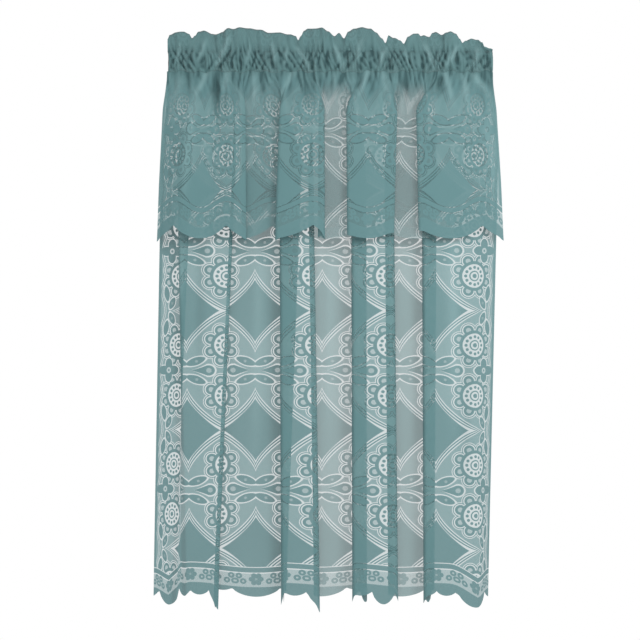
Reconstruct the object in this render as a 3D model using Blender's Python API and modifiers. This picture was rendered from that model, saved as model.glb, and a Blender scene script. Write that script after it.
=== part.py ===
"""Cafe curtain in lace: a gathered heading with a rod pocket, a valance in front and a tier behind.

X runs along the rod, -Y faces the room, +Z is up. The origin lies on the axis of the rod pocket.
Every size below is in millimetres and is turned into metres when a vertex is placed.
"""

import math
from collections import namedtuple

import bmesh
import bpy

MM = 0.001

# Cloth
SHEET = 1.2            # thickness of one layer of lace
FLAT_WIDTH = 1136.0    # width of each lace panel before gathering
SEAM_GAP = 0.3         # between pieces that are sewn together

# Heading
HALF_WIDTH = 322.0     # half of the gathered width along the rod
POCKET_HEIGHT = 20.0   # from the rod's axis to either line of stitching
POCKET_DEPTH = 11.0    # from the rod's axis to the front or back of the pocket
POCKET_SIDES = 10      # 2 more than a multiple of 4, so that the pocket is flat at both lines of stitching
POCKET_STATIONS = 112
RUFFLE_STATIONS = 224  # twice as many, for the notches of its free edge
RUFFLE_THICKNESS = 1.8  # two layers, folded over at the top
RUFFLE_SINK = 0.7      # how far the ruffle's foot is sewn into the pocket's top
RUFFLE_ROWS = 3

# Gathers along the rod
GATHER_PITCH = 24.0
SEAM_WAVE = 1.1        # depth of the gathers at a line of stitching
POCKET_WAVE = 2.3      # depth of the gathers on the pocket's walls
CLOTH_WAVE = 3.6       # depth of the gathers just below the heading
CREST_WAVE = 1.5       # depth of the gathers at the ruffle's free edge

# Lace repeat, which sets where the hems' scallops fall
REPEAT = 146.5
FIRST_AXIS = 128.0     # middle of the first diamond, from the left selvedge

# One row for each fold, from left to right. turn is 1 where the cloth turns back at its right,
# -1 at its left and 0 where it only bends. cloth is the place on the flat panel, x the place when
# hung, depth the layer that follows the fold. Each is given at the upper end and at the hem.
# tail is how much lower than the hem beside it the fold's edge hangs.
Fold = namedtuple("Fold", "turn cloth_upper cloth_hem x_upper x_hem depth_upper depth_hem tail")

TIER_FOLDS = [
    Fold(0, 0, 0, -334, -352, 26, 24, 0),
    Fold(1, 71, 71, -268, -311, 17, 14, 0),
    Fold(-1, 113, 113, -307, -289, 5, 4, 4),
    Fold(1, 229, 184, -180, -222, 12, 13, 14),
    Fold(-1, 236, 196, -186, -232, 24, 26, 0),
    Fold(1, 374, 333, -50, -87, 10, 10, 0),
    Fold(-1, 440, 410, -101, -97, -6, -8, 22),
    Fold(1, 507, 483, -36, -20, 8, 8, 20),
    Fold(-1, 531, 545, -46, -32, 29, 31, 0),
    Fold(1, 650, 652, 72, 74, 12, 12, 0),
    Fold(-1, 719, 709, 41, 44, -8, -9, 18),
    Fold(1, 803, 800, 124, 135, 8, 8, 18),
    Fold(-1, 827, 830, 107, 116, 27, 29, 0),
    Fold(1, 934, 922, 214, 208, 11, 11, 0),
    Fold(-1, 978, 976, 181, 185, -7, -9, 20),
    Fold(0, 1081, 1081, 285, 290, -3, -8, 0),
    Fold(0, 1136, 1136, 337, 315, 1, 18, 0),
]

VALANCE_FOLDS = [
    Fold(0, 0, 0, -325, -341, -22, -17, 8),
    Fold(0, 75, 75, -273, -294, -36, -37, 0),
    Fold(0, 158, 158, -226, -234, -25, -27, 0),
    Fold(0, 215, 215, -193, -194, -31, -32, 0),
    Fold(1, 261, 261, -166, -164, -24, -24, 4),
    Fold(-1, 277, 277, -173, -174, -15, -15, 0),
    Fold(1, 376, 376, -86, -92, -25, -25, 0),
    Fold(-1, 424, 424, -97, -108, -34, -35, 3),
    Fold(1, 519, 519, -11, -10, -25, -25, 12),
    Fold(-1, 543, 543, -22, -24, -16, -16, 0),
    Fold(1, 630, 630, 50, 55, -25, -25, 0),
    Fold(-1, 669, 669, 31, 33, -34, -35, 3),
    Fold(1, 772, 772, 134, 126, -25, -25, 3),
    Fold(-1, 800, 800, 119, 109, -16, -16, 0),
    Fold(1, 895, 895, 190, 198, -25, -25, 0),
    Fold(-1, 939, 939, 167, 173, -33, -34, 5),
    Fold(0, 1038, 1038, 261, 267, -27, -28, 0),
    Fold(0, 1136, 1136, 322, 341, -24, -24, 6),
]

TURN_REACH = 6.0       # how far a fold's rounded edge runs back from its outermost line
RUN_STEP = 22.0        # longest stretch of cloth between two columns of a panel

# Hanging shape of the two panels: top and hem, the depth over which the folds form below the
# heading, and the depth over which the gathers die away
Drop = namedtuple("Drop", "top hem folds_form gathers_fade rows side")
TIER_DROP = Drop(-POCKET_HEIGHT - SEAM_GAP, -1045.0, 190.0, 150.0, 12, 1)
VALANCE_DROP = Drop(-POCKET_HEIGHT - SEAM_GAP, -324.0, 85.0, 100.0, 7, -1)
SEAM_OFFSET = 1.1      # tier and valance lie this far behind and in front of the seam's middle
CLOTH_APART = 6.0      # and this far once they are clear of the heading
HEADING_CLEAR = 25.0   # height below the heading at which they are clear

# Scalloped hems. The tier's repeats over two diamonds: width of each lobe and drop of its middle
# below the hem's highest line. The lobe at each lower corner is larger.
TIER_LOBES = [(36, 10), (38, 27), (31, 5), (83, 19), (31, 5), (38, 27), (36, 10)]
CORNER_MIDDLE = 55.0   # from the selvedge
CORNER_HALF = 36.0
CORNER_DROP = 34.0
VALANCE_LOBE_DROP = 27.0
TAIL_HALF = 16.0       # cloth on either side of a fold's edge over which its tail fades
HEM_FADE = 90.0        # height over which the scallops level out above the hem

# Ruffle's top: place along the rod and height above the rod, at each crest, shoulder and notch
RUFFLE_TOP = [
    (-322, 44), (-317, 53), (-305, 57), (-289, 59), (-279, 55), (-273, 47), (-268, 52),
    (-261, 61), (-251, 63), (-234, 57), (-224, 55), (-214, 59), (-200, 66), (-190, 64),
    (-178, 67), (-158, 65), (-135, 63), (-122, 59), (-99, 59), (-79, 55), (-68, 52),
    (-63, 43), (-58, 50), (-51, 61), (-44, 65), (-32, 64), (-18, 67), (-4, 61),
    (8, 51), (18, 59), (28, 47), (36, 59), (48, 65), (63, 67), (79, 65),
    (91, 57), (103, 47), (110, 38), (116, 53), (127, 49), (139, 43), (146, 36),
    (154, 49), (166, 55), (174, 55), (179, 50), (186, 53), (197, 50), (203, 58),
    (210, 61), (222, 54), (230, 57), (238, 59), (249, 55), (257, 45), (262, 38),
    (269, 43), (281, 47), (293, 45), (301, 38), (305, 29), (317, 26), (322, 24),
]

# Lobes of the ruffle, which lean to front and back by turns: middle along the rod and half width
Lobe = namedtuple("Lobe", "x half")
RUFFLE_LOBES = [
    Lobe(-301, 26),
    Lobe(-244, 33),
    Lobe(-178, 44),
    Lobe(-100, 38),
    Lobe(-32, 34),
    Lobe(18, 12),
    Lobe(66, 40),
    Lobe(124, 18),
    Lobe(166, 18),
    Lobe(209, 20),
    Lobe(241, 18),
    Lobe(281, 22),
    Lobe(313, 14),
]
RUFFLE_SWAY = 7.0      # how far the lobes lean to front and back

COLLECTION = "cafe_curtain"
LACE_TEAL = (0.115, 0.235, 0.240, 1.0)
HEADING_TEAL = (0.085, 0.180, 0.185, 1.0)


def smooth(share):
    """Eases a share from 0 to 1."""
    share = min(max(share, 0.0), 1.0)
    return share * share * (3.0 - 2.0 * share)


def mix(a, b, share):
    return a + (b - a) * share


def gather(x):
    """Uneven wave of the gathers along the rod, from -1 to 1."""
    phase = 2.0 * math.pi * x / GATHER_PITCH
    drift = 1.3 * math.sin(x / 27.0 + 1.0) + 0.8 * math.sin(x / 11.0 + 0.4)
    size = 0.72 + 0.28 * math.sin(x / 17.0 + 2.0)
    return size * math.sin(phase + drift)


def tier_hem(cloth):
    """Drop of the tier's scalloped hem at a place on the cloth."""
    from_corner = abs(min(cloth, FLAT_WIDTH - cloth) - CORNER_MIDDLE)
    if from_corner < CORNER_HALF:
        return CORNER_DROP * math.cos(math.pi / 2 * from_corner / CORNER_HALF) ** 0.6
    along = (cloth - FIRST_AXIS) % (2 * REPEAT)
    for width, drop in TIER_LOBES:
        if along <= width:
            return drop * math.sin(math.pi * along / width) ** 0.6
        along -= width
    return 0.0


def valance_hem(cloth):
    """Drop of the valance's hem: one lobe below each diamond."""
    along = (cloth - FIRST_AXIS) / REPEAT
    return VALANCE_LOBE_DROP * abs(math.cos(math.pi * along)) ** 0.8


def turn_reach(overlap):
    """Run of a rounded edge on one side of a fold; it is negative where the fold has opened out."""
    return max(-TURN_REACH, min(TURN_REACH, 0.4 * overlap))


def waypoints(folds, lower):
    """Points (x, depth, cloth) of a panel's plan section; lower goes from 0 at the top to 1 at the hem."""
    xs = [mix(fold.x_upper, fold.x_hem, lower) for fold in folds]
    depths = [mix(fold.depth_upper, fold.depth_hem, lower) for fold in folds]
    cloths = [mix(fold.cloth_upper, fold.cloth_hem, lower) for fold in folds]
    points = []
    for index, fold in enumerate(folds):
        x, depth, cloth = xs[index], depths[index], cloths[index]
        if fold.turn == 0:
            points.append((x, depth, cloth))
            continue
        rise = abs(depth - depths[index - 1]) / 2
        lead = turn_reach(fold.turn * (x - xs[index - 1]))
        trail = turn_reach(fold.turn * (x - xs[index + 1]))
        points.append((x - fold.turn * lead, depths[index - 1], cloth - 1.1 * math.hypot(lead, rise)))
        points.append((x, (depths[index - 1] + depth) / 2, cloth))
        points.append((x - fold.turn * trail, depth, cloth + 1.1 * math.hypot(trail, rise)))
    return points


def tangent(before, here, after):
    """Direction of a smooth curve at a point, per unit of length along it."""
    length = max(math.dist(before[:2], here[:2]) + math.dist(here[:2], after[:2]), 1.0)
    return [(b - a) / length for a, b in zip(before, after)]


def section(folds, lower, spans):
    """Smooth plan section through the waypoints, with a set number of steps in each span."""
    points = waypoints(folds, lower)
    path = []
    for index, steps in enumerate(spans):
        start, end = points[index], points[index + 1]
        chord = math.dist(start[:2], end[:2])
        leave = tangent(points[max(index - 1, 0)], start, end)
        arrive = tangent(start, end, points[min(index + 2, len(points) - 1)])
        for step in range(steps):
            t = step / steps
            bend_out, bend_in = t * (1 - t) ** 2 * chord, -t * t * (1 - t) * chord
            ease = t * t * (3 - 2 * t)
            x, depth = (
                mix(start[i], end[i], ease) + bend_out * leave[i] + bend_in * arrive[i]
                for i in (0, 1)
            )
            path.append((x, depth, mix(start[2], end[2], t)))
    path.append(points[-1])
    return path


def span_steps(folds):
    """Number of columns for each span between waypoints: two on a rounded edge, more on a long run."""
    points = waypoints(folds, 0.5)
    steps = []
    for start, end in zip(points, points[1:]):
        steps.append(max(2, math.ceil(math.dist(start[:2], end[:2]) / RUN_STEP)))
    return steps


def hung_point(x, depth, cloth, drop, share, hem_drop):
    """Place of a point of a panel, at a share of the way from the heading to the hem."""
    below = (drop.top - drop.hem) * share
    formed = smooth(below / drop.folds_form)
    gathered_x = mix(-HALF_WIDTH, HALF_WIDTH, cloth / FLAT_WIDTH)
    x = mix(gathered_x, x, formed)
    clear = smooth(below / HEADING_CLEAR)
    swell = mix(SEAM_WAVE, CLOTH_WAVE, clear) * (1.0 - smooth(below / drop.gathers_fade))
    apart = mix(SEAM_OFFSET, CLOTH_APART, clear)
    y = drop.side * apart * (1.0 - formed) + depth * formed + swell * gather(x)
    to_hem = 1.0 - smooth((drop.top - drop.hem - below) / HEM_FADE)
    z = drop.top - below - to_hem * hem_drop
    return x * MM, y * MM, z * MM


def tail_drop(folds, cloth):
    """Extra drop of the hem at the edges of the folds."""
    return max(fold.tail * smooth(1.0 - abs(cloth - fold.cloth_hem) / TAIL_HALF) for fold in folds)


def sheet(name, folds, drop, hem_wave):
    """A hung panel: a grid moved onto the plan sections from the heading to the hem."""
    spans = span_steps(folds)
    columns = sum(spans)
    grid = bmesh.new()
    bmesh.ops.create_grid(grid, x_segments=columns, y_segments=drop.rows, size=0.5)
    grid.verts.ensure_lookup_table()
    sections = [section(folds, row / drop.rows, spans) for row in range(drop.rows + 1)]
    hem_drops = [hem_wave(cloth) + tail_drop(folds, cloth) for _, _, cloth in sections[-1]]
    for vert in grid.verts:
        column = round((vert.co.x + 0.5) * columns)
        row = round((0.5 - vert.co.y) * drop.rows)
        x, depth, cloth = sections[row][column]
        vert.co = hung_point(x, depth, cloth, drop, row / drop.rows, hem_drops[column])
    return shell(name, grid, SHEET)


def shell(name, surface, thickness):
    """Object of an open surface given its thickness to both sides."""
    mesh = bpy.data.meshes.new(name)
    surface.normal_update()
    surface.to_mesh(mesh)
    surface.free()
    shaped = bpy.data.objects.new(name, mesh)
    solidify = shaped.modifiers.new("thickness", "SOLIDIFY")
    solidify.thickness = thickness * MM
    solidify.offset = 0.0
    solidify.use_even_offset = False
    return shaped


def pocket_tube():
    """The rod pocket: a gathered tube, open at both ends."""
    grid = bmesh.new()
    bmesh.ops.create_grid(grid, x_segments=POCKET_STATIONS, y_segments=POCKET_SIDES, size=0.5)
    for vert in grid.verts:
        x = mix(-HALF_WIDTH, HALF_WIDTH, vert.co.x + 0.5)
        angle = 2.0 * math.pi * (vert.co.y + 0.5)
        side = math.copysign(abs(math.cos(angle)) ** 1.2, math.cos(angle))
        seam = SEAM_WAVE * gather(x) * (1.0 - abs(side))
        wall = POCKET_WAVE * gather(x + side * GATHER_PITCH / 4) * side
        y = POCKET_DEPTH * side + seam + wall
        z = POCKET_HEIGHT * math.sin(angle) / math.cos(math.pi / POCKET_SIDES)
        vert.co = (x * MM, y * MM, z * MM)
    bmesh.ops.remove_doubles(grid, verts=grid.verts, dist=0.00001)
    bmesh.ops.recalc_face_normals(grid, faces=grid.faces)
    tube = shell("heading", grid, SHEET)
    tube.modifiers["thickness"].offset = -1.0
    return tube


def ruffle_height(x):
    """Height of the ruffle's free edge above the rod."""
    for (left, low), (right, high) in zip(RUFFLE_TOP, RUFFLE_TOP[1:]):
        if x <= right:
            return mix(low, high, smooth((x - left) / (right - left)))
    return RUFFLE_TOP[-1][1]


def ruffle_sway(x):
    """Lean of the ruffle's free edge: one lobe forward, the next one back."""
    nearest = min(range(len(RUFFLE_LOBES)), key=lambda i: abs(x - RUFFLE_LOBES[i].x) / RUFFLE_LOBES[i].half)
    lobe = RUFFLE_LOBES[nearest]
    away = min(abs(x - lobe.x) / lobe.half, 1.0)
    side = -1.0 if nearest % 2 == 0 else 1.0
    return side * RUFFLE_SWAY * math.cos(math.pi / 2 * away)


def ruffle():
    """The stand-up ruffle above the pocket."""
    grid = bmesh.new()
    bmesh.ops.create_grid(grid, x_segments=RUFFLE_STATIONS, y_segments=RUFFLE_ROWS, size=0.5)
    foot = POCKET_HEIGHT - RUFFLE_SINK
    for vert in grid.verts:
        x = mix(-HALF_WIDTH + SHEET, HALF_WIDTH - SHEET, vert.co.x + 0.5)
        share = vert.co.y + 0.5
        z = mix(foot, ruffle_height(x), share)
        y = mix(SEAM_WAVE * gather(x), ruffle_sway(x) + CREST_WAVE * gather(x), smooth(share))
        vert.co = (x * MM, y * MM, z * MM)
    return shell("ruffle", grid, RUFFLE_THICKNESS)


def heading():
    """Pocket and ruffle as one piece of sewn cloth."""
    tube, top = pocket_tube(), ruffle()
    join = tube.modifiers.new("sewn", "BOOLEAN")
    join.operation = "UNION"
    join.solver = "EXACT"
    join.object = top
    return tube, top


def finish(name, colour, roughness):
    material = bpy.data.materials.new(name)
    material.use_nodes = True
    shader = material.node_tree.nodes["Principled BSDF"]
    shader.inputs["Base Color"].default_value = colour
    shader.inputs["Roughness"].default_value = roughness
    shader.inputs["Metallic"].default_value = 0.0
    return material


def main():
    for old in list(bpy.data.objects):
        bpy.data.objects.remove(old)
    model = bpy.data.collections.new(COLLECTION)
    helpers = bpy.data.collections.new("helpers")
    bpy.context.scene.collection.children.link(model)
    bpy.context.scene.collection.children.link(helpers)

    pocket, top = heading()
    pocket.data.materials.append(finish("gathered_lace", HEADING_TEAL, 0.85))
    tier = sheet("tier_panel", TIER_FOLDS, TIER_DROP, tier_hem)
    tier.data.materials.append(finish("tier_lace", LACE_TEAL, 0.8))
    valance = sheet("valance", VALANCE_FOLDS, VALANCE_DROP, valance_hem)
    valance.data.materials.append(finish("valance_lace", LACE_TEAL, 0.8))
    for piece in (pocket, tier, valance):
        piece.data.shade_smooth()
        model.objects.link(piece)
    helpers.objects.link(top)
    top.hide_render = True
    top.display_type = "WIRE"


main()
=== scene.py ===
# Cafe curtain in teal lace: gathered heading with a ruffle, a scalloped valance and a long folded tier.
# Lengths are in millimetres and become metres where a point is placed.

import math

import bmesh
import bpy
from mathutils import Matrix, Vector


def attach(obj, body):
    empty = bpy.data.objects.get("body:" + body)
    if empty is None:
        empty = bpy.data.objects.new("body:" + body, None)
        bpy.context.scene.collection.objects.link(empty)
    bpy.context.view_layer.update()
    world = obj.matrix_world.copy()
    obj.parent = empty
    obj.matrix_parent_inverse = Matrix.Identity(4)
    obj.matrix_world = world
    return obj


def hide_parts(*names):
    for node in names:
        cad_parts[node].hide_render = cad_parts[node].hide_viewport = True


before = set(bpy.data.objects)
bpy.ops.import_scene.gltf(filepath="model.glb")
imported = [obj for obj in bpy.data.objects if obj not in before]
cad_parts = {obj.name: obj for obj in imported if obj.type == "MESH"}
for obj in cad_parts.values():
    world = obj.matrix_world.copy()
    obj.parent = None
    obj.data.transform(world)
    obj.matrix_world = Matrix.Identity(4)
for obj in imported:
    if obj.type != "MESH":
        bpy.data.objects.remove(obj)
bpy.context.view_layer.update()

mm = 0.001
flatWidth = 1136.0       # each lace panel before gathering
halfWidth = 322.0        # half of the gathered width
gatherPitch = 24.0

lacePlan = {
    "repeatWide": 146.5,     # from diamond to diamond
    "repeatHigh": 237.0,
    "firstAxis": 128.0,      # middle of the first diamond, from the left selvedge
    "lastAxis": 6,
    "sprayRow": -374.0,      # height of one row of sprays
}


# Small sums used by all the cloth

def smooth(share):
    share = min(max(share, 0.0), 1.0)
    return share * share * (3.0 - 2.0 * share)


def mix(a, b, share):
    return a + (b - a) * share


def gather(x):
    # uneven wave of the gathers along the rod, from -1 to 1
    phase = 2.0 * math.pi * x / gatherPitch
    drift = 1.3 * math.sin(x / 27.0 + 1.0) + 0.8 * math.sin(x / 11.0 + 0.4)
    size = 0.72 + 0.28 * math.sin(x / 17.0 + 2.0)
    return size * math.sin(phase + drift)


def crinkle(x, z):
    # fine creases of gathered cloth: two slanting sets that cross, 0 in the valleys and up to 1 on the ridges
    leftDrift = 2.1 * math.sin(x / 29.0 + 0.3) + 1.1 * math.sin(x / 11.3 + z / 12.0 + 0.6)
    rightDrift = 1.9 * math.sin(x / 21.0 + 1.9) + 1.0 * math.sin(x / 13.7 - z / 11.0 + 3.8)
    left = abs(math.sin(math.pi * (x + 0.40 * z) / 12.5 + leftDrift))
    right = abs(math.sin(math.pi * (x - 0.30 * z) / 17.0 + rightDrift))
    fine = abs(math.sin(math.pi * (x + 0.10 * z) / 7.3 + 1.5 * math.sin(x / 14.0 + 4.0)))
    lean = 0.5 + 0.5 * math.sin(x / 37.0 + z / 40.0 + 1.0)
    slanting = mix(left, right, lean)
    height = 0.45 * left * right + 0.35 * slanting + 0.2 * fine
    # patches where the creases stand out more, and where they flatten
    patch = math.sin(x / 3.7 + 2.0 * math.sin(z / 7.0 + x / 31.0))
    patch *= math.sin(z / 4.4 + 1.3 * math.sin(x / 9.0))
    return mix(height, 0.75, 0.35 + 0.4 * patch)


# Folds of the panels, left to right. turn is 1 where the cloth turns back at its right and -1 at its left.
# turn, cloth at top, cloth at hem, x at top, x at hem, depth at top, depth at hem, tail below the hem
tierFolds = [
    (0, 0, 0, -334, -352, 26, 24, 0),
    (1, 71, 71, -268, -311, 17, 14, 0),
    (-1, 113, 113, -307, -289, 5, 4, 4),
    (1, 229, 184, -180, -222, 12, 13, 14),
    (-1, 236, 196, -186, -232, 24, 26, 0),
    (1, 374, 333, -50, -87, 10, 10, 0),
    (-1, 440, 410, -101, -97, -6, -8, 22),
    (1, 507, 483, -36, -20, 8, 8, 20),
    (-1, 531, 545, -46, -32, 29, 31, 0),
    (1, 650, 652, 72, 74, 12, 12, 0),
    (-1, 719, 709, 41, 44, -8, -9, 18),
    (1, 803, 800, 124, 135, 8, 8, 18),
    (-1, 827, 830, 107, 116, 27, 29, 0),
    (1, 934, 922, 214, 208, 11, 11, 0),
    (-1, 978, 976, 181, 185, -7, -9, 20),
    (0, 1081, 1081, 285, 290, -3, -8, 0),
    (0, 1136, 1136, 337, 315, 1, 18, 0),
]

valanceFolds = [
    (0, 0, 0, -325, -341, -22, -17, 8),
    (0, 75, 75, -273, -294, -36, -37, 0),
    (0, 158, 158, -226, -234, -25, -27, 0),
    (0, 215, 215, -193, -194, -31, -32, 0),
    (1, 261, 261, -166, -164, -24, -24, 4),
    (-1, 277, 277, -173, -174, -15, -15, 0),
    (1, 376, 376, -86, -92, -25, -25, 0),
    (-1, 424, 424, -97, -108, -34, -35, 3),
    (1, 519, 519, -11, -10, -25, -25, 12),
    (-1, 543, 543, -22, -24, -16, -16, 0),
    (1, 630, 630, 50, 55, -25, -25, 0),
    (-1, 669, 669, 31, 33, -34, -35, 3),
    (1, 772, 772, 134, 126, -25, -25, 3),
    (-1, 800, 800, 119, 109, -16, -16, 0),
    (1, 895, 895, 190, 198, -25, -25, 0),
    (-1, 939, 939, 167, 173, -33, -34, 5),
    (0, 1038, 1038, 261, 267, -27, -28, 0),
    (0, 1136, 1136, 322, 341, -24, -24, 6),
]

# soft ridges and troughs that run down the valance from the heading
# x at the upper end, x at the lower, height of the upper end, of the lower, half width, how far it stands out
valanceRidges = [
    (-300, -308, -14, -150, 9, 3.0),
    (-238, -272, -10, -86, 6, 4.5),
    (-268, -294, -56, -318, 10, 4.0),
    (-226, -222, -30, -140, 9, -5.0),
    (-200, -214, -10, -80, 6, 3.5),
    (-152, -147, -10, -112, 7, 3.0),
    (-126, -135, -16, -76, 6, -2.5),
    (-67, -99, 0, -80, 6, 4.0),
    (-46, -43, -20, -130, 9, -3.0),
    (10, 3, -10, -92, 5, 2.5),
    (80, 51, -6, -86, 6, 4.0),
    (102, 119, -8, -98, 6, 3.5),
    (152, 146, -14, -120, 8, -3.0),
    (215, 217, -22, -76, 8, -3.5),
    (224, 244, -8, -106, 7, 4.5),
    (261, 274, -10, -126, 7, 3.5),
    (278, 318, -16, -80, 7, 4.0),
    (300, 328, -96, -300, 12, 2.5),
]

# the same on the tier
tierRidges = [
    (-291, -305, -300, -540, 10, 3.5),
    (-252, -266, -240, -760, 13, -3.0),
    (-140, -152, -300, -900, 13, 2.5),
    (0, -8, -340, -860, 9, 2.0),
    (238, 248, -250, -820, 15, 3.0),
    (272, 263, -480, -1000, 13, -3.0),
]

# the same across the ruffle and the pocket
headingRidges = [
    (-296, -304, 44, -26, 5, 2.5),
    (-246, -262, 50, -14, 5, 3.0),
    (-196, -232, 56, -26, 6, 4.0),
    (-158, -166, 40, -20, 4, 2.5),
    (-118, -104, 46, -22, 5, 3.0),
    (-84, -92, 34, -26, 4, 2.5),
    (-70, -34, 36, -28, 5, 3.5),
    (6, 31, 40, -28, 5, 3.5),
    (62, 50, 50, -18, 5, 3.0),
    (112, 90, 34, -28, 5, 3.5),
    (148, 156, 30, -22, 4, 2.5),
    (184, 212, 42, -28, 5, 3.5),
    (256, 222, 38, -24, 6, 4.0),
    (292, 284, 34, -26, 5, 3.0),
]


def softRidges(ridges, x, z):
    total = 0.0
    for topX, lowX, topZ, lowZ, half, height in ridges:
        share = (topZ - z) / (topZ - lowZ)
        if 0.0 < share < 1.0:
            away = (x - mix(topX, lowX, share)) / half
            total += height * smooth(4.0 * share) * smooth(2.0 - 2.0 * share) * math.exp(-away * away)
    return total


tier = {
    "folds": tierFolds,
    "top": -20.3,
    "hem": -1045.0,
    "foldsForm": 190.0,      # depth below the heading over which the folds form
    "gathersFade": 150.0,
    "creases": 5.0,
    "ridges": tierRidges,
    "lit": [0.15, 1.0, 1.0],     # how much painted window light pales each back panel
    "side": 1,
    "rows": 190,
    "step": 4.0,             # longest stretch of cloth between two columns
    "edgeSteps": 4,
}

valance = {
    "folds": valanceFolds,
    "top": -20.3,
    "hem": -324.0,
    "foldsForm": 85.0,
    "gathersFade": 120.0,
    "creases": 7.0,
    "ridges": valanceRidges,
    "lit": [0.15, 1.0, 1.0],
    "side": -1,
    "rows": 84,
    "step": 4.0,
    "edgeSteps": 4,
}

hemPlan = {
    "tierLobes": [(36, 10), (38, 27), (31, 5), (83, 19), (31, 5), (38, 27), (36, 10)],
    "cornerMiddle": 55.0,
    "cornerHalf": 36.0,
    "cornerDrop": 34.0,
    "valanceDrop": 27.0,
    "tailHalf": 16.0,
    "fade": 90.0,
}


def tierHem(cloth):
    fromCorner = abs(min(cloth, flatWidth - cloth) - hemPlan["cornerMiddle"])
    if fromCorner < hemPlan["cornerHalf"]:
        share = fromCorner / hemPlan["cornerHalf"]
        return hemPlan["cornerDrop"] * math.cos(math.pi / 2 * share) ** 0.6
    along = (cloth - lacePlan["firstAxis"]) % (2 * lacePlan["repeatWide"])
    for width, drop in hemPlan["tierLobes"]:
        if along <= width:
            return drop * math.sin(math.pi * along / width) ** 0.6
        along -= width
    return 0.0


def valanceHem(cloth):
    along = (cloth - lacePlan["firstAxis"]) / lacePlan["repeatWide"]
    return hemPlan["valanceDrop"] * abs(math.cos(math.pi * along)) ** 0.8


def turnReach(overlap):
    # run of a fold's rounded edge on one side; negative where the fold has opened out
    return max(-6.0, min(6.0, 0.4 * overlap))


def waypoints(folds, lower):
    xs = [mix(fold[3], fold[4], lower) for fold in folds]
    depths = [mix(fold[5], fold[6], lower) for fold in folds]
    cloths = [mix(fold[1], fold[2], lower) for fold in folds]
    points = []
    for index, fold in enumerate(folds):
        turn, x, depth, cloth = fold[0], xs[index], depths[index], cloths[index]
        if turn == 0:
            points.append((x, depth, cloth))
            continue
        rise = abs(depth - depths[index - 1]) / 2
        lead = turnReach(turn * (x - xs[index - 1]))
        trail = turnReach(turn * (x - xs[index + 1]))
        points.append((x - turn * lead, depths[index - 1], cloth - 1.1 * math.hypot(lead, rise)))
        points.append((x, (depths[index - 1] + depth) / 2, cloth))
        points.append((x - turn * trail, depth, cloth + 1.1 * math.hypot(trail, rise)))
    return points


def tangent(before, here, after):
    length = max(math.dist(before[:2], here[:2]) + math.dist(here[:2], after[:2]), 1.0)
    return [(b - a) / length for a, b in zip(before, after)]


def section(folds, lower, spans):
    # smooth plan section through the waypoints, with a set number of steps in each span
    points = waypoints(folds, lower)
    path = []
    for index, steps in enumerate(spans):
        start, end = points[index], points[index + 1]
        chord = math.dist(start[:2], end[:2])
        leave = tangent(points[max(index - 1, 0)], start, end)
        arrive = tangent(start, end, points[min(index + 2, len(points) - 1)])
        for step in range(steps):
            t = step / steps
            bendOut = t * (1 - t) ** 2 * chord
            bendIn = -t * t * (1 - t) * chord
            ease = t * t * (3 - 2 * t)
            x, depth = (
                mix(start[i], end[i], ease) + bendOut * leave[i] + bendIn * arrive[i]
                for i in (0, 1)
            )
            path.append((x, depth, mix(start[2], end[2], t)))
    path.append(points[-1])
    return path


def spanSteps(panel):
    points = waypoints(panel["folds"], 0.5)
    steps = []
    for start, end in zip(points, points[1:]):
        steps.append(max(panel["edgeSteps"], math.ceil(math.dist(start[:2], end[:2]) / panel["step"])))
    return steps


def tailDrop(folds, cloth):
    half = hemPlan["tailHalf"]
    return max(fold[7] * smooth(1.0 - abs(cloth - fold[2]) / half) for fold in folds)


# how both panels leave the line of stitching, in millimetres
hanging = {
    "seamFades": 25.0,       # the stray and wave of the seam are gone this far below it
    "behindSeam": 1.1,       # the tier's distance behind the seam
    "apartAtTop": 6.0,       # distance of each panel from the middle, before its folds form
    "gatherSwell": 3.6,      # depth of the wide gathers
    "creaseShift": 5.0,      # the creases of front and back don't lie on each other
    "creaseDraw": 0.45,      # the creases are drawn out as they run down
    "creaseMiddle": 0.55,    # height in a crease, 0 to 1, that stays in place
    "fullRidge": 4.0,        # a soft ridge of this height has its full painted highlight
    "troughShade": 0.35,     # how far a full trough darkens, as painted shade
    "paleFrom": 10.0,        # back folds turn paler with painted window light from here down
    "paleWithin": 50.0,      # over this height
    "paleEdge": 9.0,         # and over this much cloth at their sides
}


def hungPoint(panel, x, depth, cloth, share, hemDrop):
    below = (panel["top"] - panel["hem"]) * share
    formed = smooth(below / panel["foldsForm"])
    gatheredX = mix(-halfWidth, halfWidth, cloth / flatWidth)
    x = mix(gatheredX, x, formed)
    clear = smooth(below / hanging["seamFades"])
    fading = 1.0 - smooth(below / panel["gathersFade"])
    side = panel["side"]
    drawn = -heading["pocketHeight"] - hanging["creaseDraw"] * below
    ridge = crinkle(gatheredX + hanging["creaseShift"] * side, drawn)
    fine = fading * fading
    toHem = 1.0 - smooth((panel["top"] - panel["hem"] - below) / hemPlan["fade"])
    z = panel["top"] - below - toHem * hemDrop + seamStray(gatheredX) * (1.0 - clear)
    stands = softRidges(panel["ridges"], x, z)
    swell = hanging["gatherSwell"] * fading * gather(x)
    swell += panel["creases"] * fine * (hanging["creaseMiddle"] - ridge)
    swell -= stands
    y = side * hanging["apartAtTop"] * (1.0 - formed) + depth * formed + swell
    if side > 0:
        start = hanging["behindSeam"] + heading["seamWave"] * gather(x)
    else:
        start = headingPoint(gatheredX, "frontWall", 0.0)[1]
    y = mix(start, y, clear)
    # the crease and trough values become painted shade in the material, and a raised ridge a painted
    # highlight
    ridgeShading = min(max(stands / hanging["fullRidge"], -1.0), 1.0)
    valley = fine * (1.0 - ridge) * (1.0 - max(ridgeShading, 0.0))
    valley += hanging["troughShade"] * max(-ridgeShading, 0.0)
    return x, y, z, toHem, valley, max(ridgeShading, 0.0)


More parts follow.
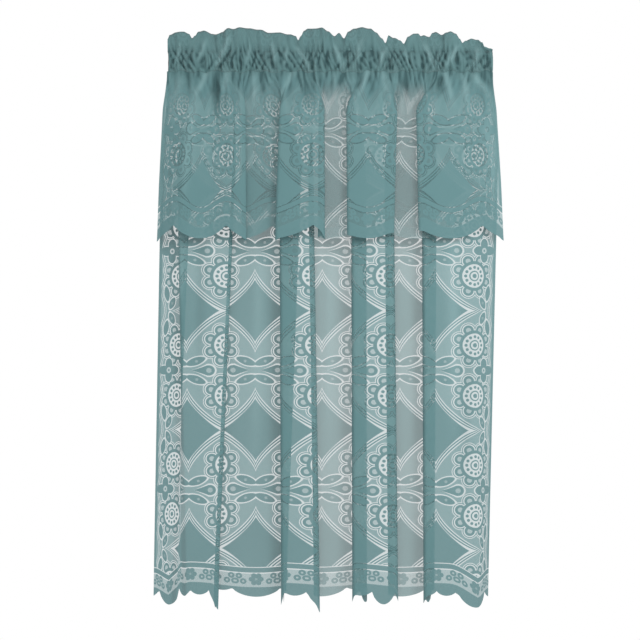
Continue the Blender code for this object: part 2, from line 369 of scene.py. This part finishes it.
def backPanels(folds, lower):
    # stretches of cloth that lie behind the folds beside them
    stretches = []
    for before, fold, after in zip(folds, folds[1:], folds[2:]):
        if fold[0] == -1 and fold[5] > before[5]:
            stretches.append((mix(fold[1], fold[2], lower), mix(after[1], after[2], lower)))
    return stretches


def howFarBack(panel, stretches, cloth, share):
    below = (panel["top"] - panel["hem"]) * share
    clear = smooth((below - hanging["paleFrom"]) / hanging["paleWithin"])
    edge = hanging["paleEdge"]
    return clear * max(
        lit * smooth((cloth - start) / edge) * smooth((end - cloth) / edge)
        for (start, end), lit in zip(stretches, panel["lit"])
    )


def addPiece(name, surface, node):
    mesh = bpy.data.meshes.new(name)
    surface.normal_update()
    surface.to_mesh(mesh)
    surface.free()
    mesh.shade_smooth()
    piece = bpy.data.objects.new(name, mesh)
    bpy.context.scene.collection.objects.link(piece)
    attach(piece, "root")
    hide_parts(node)
    return piece


def hangPanel(name, panel, hemWave, node):
    # a grid moved onto the plan sections; its UV map holds the place on the flat cloth in metres
    spans = spanSteps(panel)
    columns = sum(spans)
    rows = panel["rows"]
    grid = bmesh.new()
    bmesh.ops.create_grid(grid, x_segments=columns, y_segments=rows, size=0.5)
    grid.verts.layers.float.new("creaseShading")
    grid.verts.layers.float.new("ridgeShading")
    grid.verts.layers.float.new("behind")
    marks = grid.verts.layers.float
    creaseShading, ridgeShading, behind = marks["creaseShading"], marks["ridgeShading"], marks["behind"]
    backs = [backPanels(panel["folds"], row / rows) for row in range(rows + 1)]
    sections = [section(panel["folds"], row / rows, spans) for row in range(rows + 1)]
    hemDrops = []
    for point in sections[-1]:
        hemDrops.append((hemWave(point[2]), tailDrop(panel["folds"], point[2])))
    places = {}
    for vert in grid.verts:
        column = round((vert.co.x + 0.5) * columns)
        row = round((0.5 - vert.co.y) * rows)
        x, depth, cloth = sections[row][column]
        scallop, tail = hemDrops[column]
        x, y, z, toHem, valley, stands = hungPoint(panel, x, depth, cloth, row / rows, scallop + tail)
        vert.co = (x * mm, y * mm, z * mm)
        vert[creaseShading] = valley
        vert[ridgeShading] = stands
        vert[behind] = howFarBack(panel, backs[row], cloth, row / rows)
        places[vert] = (cloth * mm, (z + toHem * tail) * mm)
    cloth = grid.loops.layers.uv.new("flatCloth")
    for face in grid.faces:
        for loop in face.loops:
            loop[cloth].uv = places[loop.vert]
    piece = addPiece(name, grid, node)
    print(name, "with", columns, "by", rows, "faces")
    return piece


# Heading: one strip of cloth, up the back of the pocket, over the ruffle's edge and down the front

heading = {
    "pocketHeight": 20.0,
    "pocketDepth": 10.6,
    "pocketWave": 3.0,       # depth of the pocket's wide gathers
    "fullness": 0.8,         # a wall bulges more squarely with less
    "lowFullness": 0.55,     # lower half of the front wall
    "seamGap": 0.6,          # each wall's distance from the stitching
    "seamWave": 1.1,
    "endInset": 0.6,         # the heading ends this much inside the panels
    "foldOver": 134.0,       # twice the height where the strip turns over at the ruffle's edge
    "stations": 620,
    "wallRows": 12,
    "ruffleRows": 9,
    "ruffleApart": 1.5,      # the ruffle's two layers, from the middle
    "ruffleSway": 7.0,
    "ruffleGather": 3.4,
    "creases": 11.0,         # depth of the fine creases
    "seamStray": 1.7,        # how far the lines of stitching stray up and down
    "endCurl": 4.5,
    "curlReach": 7.0,
}

# the ruffle's free edge: place along the rod and height above it, at each crest, shoulder and notch
ruffleTop = [
    (-322, 44), (-317, 53), (-305, 57), (-289, 59), (-279, 55), (-273, 47), (-268, 52),
    (-261, 61), (-251, 63), (-234, 57), (-224, 55), (-214, 59), (-200, 66), (-190, 64),
    (-178, 67), (-158, 65), (-135, 63), (-122, 59), (-99, 59), (-79, 55), (-68, 52),
    (-63, 43), (-58, 50), (-51, 61), (-44, 65), (-32, 64), (-18, 67), (-4, 61),
    (8, 51), (18, 59), (28, 47), (36, 59), (48, 65), (63, 67), (79, 65),
    (91, 57), (103, 47), (110, 38), (116, 53), (127, 49), (139, 43), (146, 36),
    (154, 49), (166, 55), (174, 55), (179, 50), (186, 53), (197, 50), (203, 58),
    (210, 61), (222, 54), (230, 57), (238, 59), (249, 55), (257, 45), (262, 38),
    (269, 43), (281, 47), (293, 45), (301, 38), (305, 29), (317, 26), (322, 24),
]

# lobes that lean to front and back by turns: middle along the rod and half width
ruffleLobes = [
    (-301, 26), (-244, 33), (-178, 44), (-100, 38), (-32, 34), (18, 12), (66, 40),
    (124, 18), (166, 18), (209, 20), (241, 18), (281, 22), (313, 14),
]


def ruffleHeight(x):
    for (left, low), (right, high) in zip(ruffleTop, ruffleTop[1:]):
        if x <= right:
            return mix(low, high, smooth((x - left) / (right - left)))
    return ruffleTop[-1][1]


def ruffleSway(x):
    nearest = min(range(len(ruffleLobes)), key=lambda i: abs(x - ruffleLobes[i][0]) / ruffleLobes[i][1])
    middle, half = ruffleLobes[nearest]
    away = min(abs(x - middle) / half, 1.0)
    side = -1.0 if nearest % 2 == 0 else 1.0
    return side * heading["ruffleSway"] * math.cos(math.pi / 2 * away)


def seamStray(x):
    wander = math.sin(x / 5.3) + 0.7 * math.sin(x / 12.1 + 1.0) + 0.4 * math.sin(x / 2.9 + 2.0)
    return heading["seamStray"] * wander


def headingPoint(x, part, share):
    # part is back or front wall, or back or front of the ruffle; share goes upwards
    side = 1.0 if part.startswith("back") else -1.0
    pocket = heading["pocketHeight"]
    seam = heading["seamWave"] * gather(x)
    if part.endswith("Wall"):
        z = mix(-pocket, pocket, share)
        fullness = heading["lowFullness" if part == "frontWall" and z < 0 else "fullness"]
        bulge = math.cos(math.asin(min(abs(z) / (pocket + heading["seamGap"]), 1.0))) ** fullness
        ridge = crinkle(x + hanging["creaseShift"] * side, z)
        wave = heading["pocketWave"] * gather(x + side * gatherPitch / 4) * bulge
        y = side * (heading["pocketDepth"] * bulge + heading["seamGap"]) + seam * (1 - bulge) + wave
        y += side * heading["creases"] * (0.35 + 0.65 * bulge) * (ridge - hanging["creaseMiddle"])
        # how deep the crease lies, for painted shade in the material
        valley = 1.0 - ridge
        ridgeShading = 0.0
        if side < 0:
            stands = softRidges(headingRidges, x, z)
            ridgeShading = min(stands / hanging["fullRidge"], 1.0)
            y -= stands
            valley *= (1.0 - ridgeShading) * (0.5 + 0.5 * smooth(share * 5.0))
            # the left end's front edge curls in, so that the open tunnel shows
            x += heading["endCurl"] * bulge * math.exp(-(x + halfWidth) / heading["curlReach"])
        return x, y, z + seamStray(x) * (1.0 - smooth(share * 2.2)), valley, ridgeShading
    top = ruffleHeight(x)
    z = mix(pocket, top, share)
    ridge = crinkle(x + hanging["creaseShift"] * side * (1.0 - share), pocket + 0.35 * (z - pocket))
    fan = smooth(share)
    fine = 0.08 + 0.92 * (1.0 - share) ** 3
    y = mix(seam, ruffleSway(x) + heading["ruffleGather"] * gather(x + 5.0), fan)
    grown = math.sin(math.pi * min(share * 4.0 + 0.35, 1.0) / 2)
    y -= heading["creases"] * fine * grown * (ridge - hanging["creaseMiddle"])
    apart = heading["ruffleApart"] * math.sin(math.pi * min(share * 3.0, 1.0) / 2) * (1.0 - share**6)
    stands = softRidges(headingRidges, x, z) if side < 0 else 0.0
    ridgeShading = min(stands / hanging["fullRidge"], 1.0)
    return x, y + side * (apart + 0.25 + stands), z, fine * (1.0 - ridge) * (1.0 - ridgeShading), ridgeShading


def sewHeading():
    parts = [
        ("backWall", heading["wallRows"]),
        ("backRuffle", heading["ruffleRows"]),
        ("frontRuffle", heading["ruffleRows"]),
        ("frontWall", heading["wallRows"]),
    ]
    rows = []
    for part, steps in parts:
        for step in range(steps):
            share = step / steps
            rows.append((part, share if part.startswith("back") else 1.0 - share))
    rows.append(("frontWall", 0.0))
    stations = heading["stations"]
    grid = bmesh.new()
    bmesh.ops.create_grid(grid, x_segments=stations, y_segments=len(rows) - 1, size=0.5)
    grid.verts.layers.float.new("creaseShading")
    grid.verts.layers.float.new("ridgeShading")
    creaseShading, ridgeShading = grid.verts.layers.float["creaseShading"], grid.verts.layers.float["ridgeShading"]
    places = {}
    for vert in grid.verts:
        along = vert.co.x + 0.5
        row = round((vert.co.y + 0.5) * (len(rows) - 1))
        x = mix(-halfWidth + heading["endInset"], halfWidth - heading["endInset"], along)
        part, share = rows[row]
        x, y, z, valley, stands = headingPoint(x, part, share)
        vert.co = (x * mm, y * mm, z * mm)
        vert[creaseShading] = valley
        vert[ridgeShading] = stands
        lift = z if part.startswith("front") else heading["foldOver"] - z
        places[vert] = (along * flatWidth * mm, (lift - heading["pocketHeight"]) * mm)
    cloth = grid.loops.layers.uv.new("flatCloth")
    for face in grid.faces:
        for loop in face.loops:
            loop[cloth].uv = places[loop.vert]
    bmesh.ops.recalc_face_normals(grid, faces=grid.faces)
    piece = addPiece("gathered_heading", grid, "heading")
    print("heading with", stations, "by", len(rows) - 1, "faces")
    return piece


# Sums in a material's nodes, written like ordinary sums

class Sum:
    def __init__(self, tree, socket):
        self.tree = tree
        self.socket = socket

    def math(self, operation, *others):
        node = self.tree.nodes.new("ShaderNodeMath")
        node.operation = operation
        for index, value in enumerate((self, *others)):
            if isinstance(value, Sum):
                self.tree.links.new(value.socket, node.inputs[index])
            else:
                node.inputs[index].default_value = float(value)
        return Sum(self.tree, node.outputs[0])

    def __add__(self, other):
        return self.math("ADD", other)

    __radd__ = __add__

    def __sub__(self, other):
        return self.math("SUBTRACT", other)

    def __rsub__(self, other):
        return self.math("MULTIPLY", -1.0).math("ADD", other)

    def __mul__(self, other):
        return self.math("MULTIPLY", other)

    __rmul__ = __mul__

    def __truediv__(self, other):
        return self.math("DIVIDE", other)


def absolute(x):
    return x.math("ABSOLUTE")


def rounded(x):
    return x.math("ROUND")


def smallest(a, b):
    return a.math("MINIMUM", b)


def largest(a, b):
    return a.math("MAXIMUM", b)


def power(x, exponent):
    return x.math("MAXIMUM", 0.000001).math("POWER", exponent)


def sine(x):
    return x.math("SINE")


def cosine(x):
    return x.math("COSINE")


def span(x, y):
    return (x * x + y * y).math("SQRT")


def turned(y, x):
    return y.math("ARCTAN2", x)


def below(x, edge, blur=0.6):
    # 1 where x is under the edge and 0 where it is over, soft between
    node = x.tree.nodes.new("ShaderNodeMapRange")
    node.interpolation_type = "SMOOTHSTEP"
    x.tree.links.new(x.socket, node.inputs["Value"])
    node.inputs["From Min"].default_value = edge - blur
    node.inputs["From Max"].default_value = edge + blur
    node.inputs["To Min"].default_value = 1.0
    node.inputs["To Max"].default_value = 0.0
    return Sum(x.tree, node.outputs["Result"])


def within(x, low, high, blur=0.6):
    return below(x, high, blur) - below(x, low, blur)


def leaf(x, y, middleX, middleY, long, thick, tilt):
    # 1 on the outline of a pointed leaf, less inside
    turnX, turnY = math.cos(math.radians(tilt)), math.sin(math.radians(tilt))
    along = x * turnX + y * turnY - (middleX * turnX + middleY * turnY)
    across = y * turnX - x * turnY - (middleY * turnX - middleX * turnY)
    return power(absolute(along) / long, 1.7) + power(absolute(across) / thick, 1.7)


def diamondLace(u, v):
    # share of thread, 0 to 1, at a place on the cloth in millimetres: diamonds, rosettes and sprays
    wide, high = lacePlan["repeatWide"], lacePlan["repeatHigh"]
    step = (u - lacePlan["firstAxis"]) / wide
    nearest = smallest(largest(rounded(step), 0), lacePlan["lastAxis"])
    a = absolute(step - nearest) * wide
    edge = smallest(u, flatWidth - u)
    row = (v - lacePlan["sprayRow"]) / high
    b = absolute(row - rounded(row)) * high
    c = high / 2 - b

    # diamonds with two thin lines round them
    inner = below(128.0 - edge, 0.0, 0.5)
    other = wide - a + (1.0 - inner) * 500.0
    tall = power(c / 82.0, 0.74)
    rim = power(smallest(power(a / 91.0, 0.74), power(other / 91.0, 0.74)) + tall, 1.35)
    core = power(a / 60.0, 0.85) + power(c / 62.0, 0.85)
    filled = below(core, 1.0, 0.02)
    thread = within(rim, 0.835, 0.885, 0.012) + within(rim, 0.935, 0.985, 0.012)
    solid = largest(filled, thread)
    opening = below(rim, 1.03, 0.02)

    # rosettes
    m = wide / 2 - a
    k = b - 50.0
    r = span(m, k)
    angle = turned(k, m)
    eighth = angle / (math.pi / 4) - 0.5
    petalTurn = absolute(eighth - rounded(eighth)) * (math.pi / 4)
    petal = span(r * cosine(petalTurn) - 32.0, r * sine(petalTurn))
    twelfth = angle / (math.pi / 6)
    dotTurn = absolute(twelfth - rounded(twelfth)) * (math.pi / 6)
    dots = span(r * cosine(dotTurn) - 17.0, r * sine(dotTurn))
    petals = below(petal, 9.7) * (1.0 - 0.62 * below(petal, 4.9))
    petals = largest(largest(petals, within(r, 23.0, 29.5)), within(petal, 12.0, 13.6))
    disc = below(r, 23.4)
    middle = largest(largest(below(r, 4.3), within(r, 8.0, 10.4)), below(dots, 2.9))
    rosette = petals * (1.0 - disc) + middle * disc
    rosetteOpen = largest(below(petal, 15.2), disc) * (1.0 - rosette)

    # sprays of drops and leaves
    taper = power(smallest(largest((a - 7.0) / 30.0, 0.02), 1.0), 1.25) * 10.0
    width = b / taper
    length = largest(a - 40.0, 0.0) / 10.5
    body = width * width + length * length + largest(7.0 - a, 0.0)
    drop = below(body, 1.0, 0.12) * (1.0 - 0.6 * below(span(a - 40.0, b), 5.0))
    leafShape = leaf(a, b, 16.5, 18.0, 18.5, 7.5, 21.0)
    leaves = below(leafShape, 1.0, 0.12) * (1.0 - 0.5 * below(span(a - 18.0, b - 18.0), 2.8))
    spray = largest(drop, leaves)
    sprayOpen = largest(below(body, 1.75, 0.25), below(leafShape, 1.55, 0.2))
    solid = largest(largest(solid, spray), rosette) * (1.0 - rosetteOpen)
    opening = largest(largest(opening, sprayOpen), rosetteOpen)

    # borders along both selvedges
    across = absolute(edge - 31.0)
    flat = (across - 13.0) / 13.0
    upright = (b - 12.0) / 11.5
    fourPetals = smallest(
        flat * flat + b * b / 81.0,
        across * across / 81.0 + upright * upright,
    )
    fourPetalled = below(fourPetals, 1.0, 0.1) * (1.0 - 0.85 * within(span(across, b), 2.2, 6.0))
    chainShape = smallest(
        leaf(edge, c, 35.0, 15.0, 12.5, 6.8, 62.0),
        leaf(edge, c, 21.0, 34.0, 15.0, 6.5, 100.0),
    )
    chain = below(chainShape, 1.0, 0.12) * (1.0 - 0.5 * below(span(edge - 35.0, c - 15.0), 3.0))
    wave = edge - 13.0 - 4.5 * cosine(c * (2 * math.pi / 79.0))
    border = largest(largest(fourPetalled, chain), largest(within(wave, -0.9, 0.9), below(edge, 7.0)))
    borderOpen = largest(
        largest(below(fourPetals, 1.5, 0.15), below(chainShape, 1.5, 0.15)),
        within(wave, -2.6, 2.6),
    ) * (1.0 - border)
    solid = largest(solid * (1.0 - borderOpen), border)
    opening = largest(opening, borderOpen) * (1.0 - solid)
    return solid, opening


def hemLace(u, w):
    # the same for the band along a hem; w is the height above the line of its upper braid
    half = lacePlan["repeatWide"] / 2
    near = (u - lacePlan["firstAxis"]) / half
    away = absolute(near - rounded(near)) * half
    rise = w + 18.0
    r = span(away, rise)
    sixth = turned(rise, away) / (math.pi / 3)
    petalTurn = absolute(sixth - rounded(sixth)) * (math.pi / 3)
    petal = span(r * cosine(petalTurn) - 8.3, r * sine(petalTurn))
    flower = largest(below(petal, 4.6), below(r, 5.0)) * (1.0 - 0.6 * below(r, 2.4))
    upperRing = span(away - 30.0, rise - 6.0)
    lowerRings = smallest(span(away - 22.5, rise + 4.5), span(away - 35.5, rise + 4.5))
    rings = within(smallest(upperRing, lowerRings), 2.0, 5.6)
    braid = below(absolute(w), 4.6)
    edging = below(w, -34.0)
    solid = largest(largest(flower, rings), largest(braid, edging))
    opening = largest(within(absolute(w), 4.6, 7.2), 0.36 * within(w, -34.0, -4.6)) * (1.0 - solid)
    return solid, opening


def marked(tree, name):
    # a value that the mesh carries at its points
    attribute = tree.nodes.new("ShaderNodeAttribute")
    attribute.attribute_name = name
    return Sum(tree, attribute.outputs["Fac"])


def blended(tree, share, start, end):
    # a mix of two colours, each a socket or three numbers
    node = tree.nodes.new("ShaderNodeMix")
    node.data_type = "RGBA"
    tree.links.new(share.socket, node.inputs["Factor"])
    for name, colour in (("A", start), ("B", end)):
        if isinstance(colour, tuple):
            node.inputs[name].default_value = (*colour, 1.0)
        else:
            tree.links.new(colour, node.inputs[name])
    return node.outputs["Result"]


def laceMaterial(name, look):
    # look gives the colours, how much of the cloth is thread, and where its hem band runs
    material = bpy.data.materials.new(name)
    material.use_nodes = True
    tree = material.node_tree
    shader = tree.nodes["Principled BSDF"]
    place = tree.nodes.new("ShaderNodeUVMap")
    place.uv_map = "flatCloth"
    parts = tree.nodes.new("ShaderNodeSeparateXYZ")
    tree.links.new(place.outputs["UV"], parts.inputs[0])
    u = Sum(tree, parts.outputs["X"]) * 1000.0
    v = Sum(tree, parts.outputs["Y"]) * 1000.0

    solid, opening = diamondLace(u, v)
    if look["hem"]:
        turn = cosine((u - lacePlan["firstAxis"]) * (2 * math.pi / look["hem"]["period"]))
        edge = smallest(u, flatWidth - u)
        corner = below(absolute(edge - 52.0), 20.0, 34.0) * look["hem"]["corner"]
        line = look["hem"]["level"] + look["hem"]["wave"] * turn - corner
        w = v - line
        inHem = below(w, 6.5)
        hemSolid, hemOpening = hemLace(u, w)
        solid = solid * (1.0 - inHem) + hemSolid * inHem
        opening = opening * (1.0 - inHem) + hemOpening * inHem

    # fine knitted net: rows of small holes, half a step apart from row to row
    pitch = look["meshPitch"]
    net = sine(u * (2 * math.pi / pitch) + v * (math.pi / pitch)) * sine(v * (2 * math.pi / pitch / 1.15))
    weave = sine(u * (2 * math.pi / 1.6)) * sine(v * (2 * math.pi / 1.9))
    plain = look["net"] + 0.10 * net
    thread = plain - look["gap"] * opening
    cover = thread + (look["dense"] - thread) * solid + 0.03 * weave * solid
    cover = smallest(largest(cover, 0.02), 1.0)

    # gathered cloth lies several layers deep, so it closes up; its creases also get painted shade in the
    # colour below
    valley = marked(tree, "creaseShading")
    ridge = marked(tree, "ridgeShading")
    behind = marked(tree, "behind")
    sewn = below(-1.0 * v, 30.0, 14.0)
    gathered = below(-1.0 * v, look["gathersEnd"], look["gathersEnd"] - 20.0)
    close = gathered * look["gathersClose"] * (1.0 - 0.6 * behind)
    cover = cover + (0.97 - cover) * smallest(close + 0.6 * valley, 1.0)
    cover = cover * (1.0 - look["sheer"] * behind)
    tree.links.new(cover.socket, shader.inputs["Alpha"])

    # colour: close thread is deeper, the net is paler, and the whole cloth is a little uneven
    cloudy = tree.nodes.new("ShaderNodeTexNoise")
    cloudy.inputs["Scale"].default_value = 9.0
    cloudy.inputs["Detail"].default_value = 3.0
    tree.links.new(place.outputs["UV"], cloudy.inputs["Vector"])
    drift = (Sum(tree, cloudy.outputs["Fac"]) - 0.5) * 0.35
    depth = smallest(largest(solid * 0.85 + 0.15 * weave + drift + 0.5 * close, 0.0), 1.0)
    colour = blended(tree, depth, look["pale"], look["deep"])
    # painted light: where the cloth hangs farthest back its colour is paled, as if light from behind came
    # through it
    colour = blended(tree, behind * look["lit"], colour, look["through"])
    # painted shade: the heading and the top of each panel just below its seam are darkened
    colour = blended(tree, sewn, colour, look["sewn"])
    # painted highlight: the colour pales along raised ridges
    colour = blended(tree, ridge * 0.5, colour, look["ridge"])
    # painted shade: the colour darkens in the creases and troughs
    colour = blended(tree, smallest(valley * valley * 2.7, 0.9), colour, look["creaseShadeColour"])
    tree.links.new(colour, shader.inputs["Base Color"])

    # relief: the pattern stands up from the net, with the loops of the thread on it
    relief = tree.nodes.new("ShaderNodeBump")
    relief.inputs["Strength"].default_value = 0.35
    relief.inputs["Distance"].default_value = 0.0006
    height = solid * 0.8 + 0.2 * weave + 0.25 * net * (1.0 - solid)
    tree.links.new(height.socket, relief.inputs["Height"])
    tree.links.new(relief.outputs["Normal"], shader.inputs["Normal"])

    rough = 0.9 - 0.12 * solid
    tree.links.new(rough.socket, shader.inputs["Roughness"])
    shader.inputs["Specular IOR Level"].default_value = 0.25
    shader.inputs["Sheen Weight"].default_value = 0.15
    shader.inputs["Sheen Roughness"].default_value = 0.5
    return material


tealDeep = (0.130, 0.262, 0.272)
tealPale = (0.176, 0.322, 0.330)
throughLight = (0.420, 0.530, 0.525)
sewnTeal = (0.128, 0.245, 0.250)
ridgeHighlightTeal = (0.270, 0.440, 0.448)

tierLook = {
    "hem": {"period": 293.0, "level": -1003.5, "wave": 7.5, "corner": 24.0},
    "meshPitch": 2.0,
    "net": 0.87,
    "dense": 0.95,
    "gap": 0.45,
    "gathersEnd": 75.0,
    "gathersClose": 0.75,
    "sheer": 0.10,
    "lit": 0.26,
    "through": throughLight,
    "sewn": sewnTeal,
    "ridge": ridgeHighlightTeal,
    "pale": tealPale,
    "deep": tealDeep,
    "creaseShadeColour": (0.050, 0.115, 0.120),
}

valanceLook = {
    "hem": {"period": 146.5, "level": -284.5, "wave": -11.5, "corner": 0.0},
    "meshPitch": 2.0,
    "net": 0.84,
    "dense": 0.95,
    "gap": 0.42,
    "gathersEnd": 75.0,
    "gathersClose": 0.75,
    "sheer": 0.50,
    "lit": 0.40,
    "through": throughLight,
    "sewn": sewnTeal,
    "ridge": ridgeHighlightTeal,
    "pale": tealPale,
    "deep": tealDeep,
    "creaseShadeColour": (0.050, 0.115, 0.120),
}

# the heading's pale and deep teal are darker than the panels' as painted shade of its tight gathers
headingLook = {
    "hem": None,
    "meshPitch": 2.0,
    "net": 0.93,
    "dense": 0.98,
    "gap": 0.10,
    "gathersEnd": 75.0,
    "gathersClose": 0.0,
    "sheer": 0.0,
    "lit": 0.0,
    "through": throughLight,
    "sewn": sewnTeal,
    "ridge": ridgeHighlightTeal,
    "pale": (0.160, 0.285, 0.288),
    "deep": (0.130, 0.255, 0.258),
    "creaseShadeColour": (0.030, 0.080, 0.085),
}

tierPiece = hangPanel("lace_tier", tier, tierHem, "tier_panel")
tierPiece.data.materials.append(laceMaterial("tier_lace", tierLook))

valancePiece = hangPanel("lace_valance", valance, valanceHem, "valance")
valancePiece.data.materials.append(laceMaterial("valance_lace", valanceLook))

headingPiece = sewHeading()
headingPiece.data.materials.append(laceMaterial("heading_lace", headingLook))


# Stage: a pale floor, well below the hem as under a window

stageSizes = {"half": 4.0, "floor": -2.05}


def stagePanel(name, colour):
    material = bpy.data.materials.new(name)
    material.use_nodes = True
    shader = material.node_tree.nodes["Principled BSDF"]
    shader.inputs["Base Color"].default_value = (*colour, 1.0)
    shader.inputs["Roughness"].default_value = 0.9
    sheet = bmesh.new()
    bmesh.ops.create_grid(sheet, x_segments=1, y_segments=1, size=stageSizes["half"])
    mesh = bpy.data.meshes.new(name)
    mesh.materials.append(material)
    panel = bpy.data.objects.new(name, mesh)
    bpy.context.scene.collection.objects.link(panel)
    return panel, sheet, mesh


floor, floorSheet, floorMesh = stagePanel("pale_floor", (0.96, 0.96, 0.96))
bmesh.ops.translate(floorSheet, verts=floorSheet.verts, vec=(0.0, 0.0, stageSizes["floor"]))
floorSheet.to_mesh(floorMesh)
floorSheet.free()

# Light and camera

lights = {
    "room": 0.55,
    "aim": (0.0, 0.0, -0.5),
    "lamps": [
        ("side_light", (1.05, -1.6, 0.2), 0.8, 14.0),
        ("front_light", (-0.4, -3.3, 0.8), 1.4, 24.0),
        ("back_light", (0.5, 2.6, 0.6), 1.6, 16.0),
    ],
}

world = bpy.data.worlds.new("soft_room")
bpy.context.scene.world = world
world.use_nodes = True
room = world.node_tree
seen = room.nodes["Background"]
seen.inputs["Color"].default_value = (1.0, 1.0, 1.0, 1.0)
seen.inputs["Strength"].default_value = 1.0
soft = room.nodes.new("ShaderNodeBackground")     # what lights the cloth is softer than what is seen
soft.inputs["Color"].default_value = (0.95, 0.98, 1.0, 1.0)
soft.inputs["Strength"].default_value = lights["room"]
ray = room.nodes.new("ShaderNodeLightPath")
blend = room.nodes.new("ShaderNodeMixShader")
room.links.new(ray.outputs["Is Camera Ray"], blend.inputs["Fac"])
room.links.new(soft.outputs[0], blend.inputs[1])
room.links.new(seen.outputs[0], blend.inputs[2])
room.links.new(blend.outputs[0], room.nodes["World Output"].inputs["Surface"])

for name, place, size, watts in lights["lamps"]:
    lamp = bpy.data.lights.new(name, "AREA")
    lamp.shape = "DISK"
    lamp.size = size
    lamp.energy = watts
    lampObject = bpy.data.objects.new(name, lamp)
    aim = Vector(lights["aim"]) - Vector(place)
    lampObject.matrix_world = Matrix.Translation(place) @ aim.to_track_quat("-Z", "Y").to_matrix().to_4x4()
    bpy.context.scene.collection.objects.link(lampObject)

view = {"distance": 3.0, "x": -0.0198, "z": -0.511, "wide": 1.267}
camera = bpy.data.cameras.new("camera")
camera.sensor_width = 36.0
camera.lens = 36.0 * view["distance"] / view["wide"]
cameraObject = bpy.data.objects.new("camera", camera)
cameraObject.location = (view["x"], -view["distance"], view["z"])
cameraObject.rotation_euler = (math.pi / 2, 0.0, 0.0)
bpy.context.scene.collection.objects.link(cameraObject)
bpy.context.scene.camera = cameraObject
bpy.context.scene.view_settings.view_transform = "Standard"
print("stage, lights and camera placed")
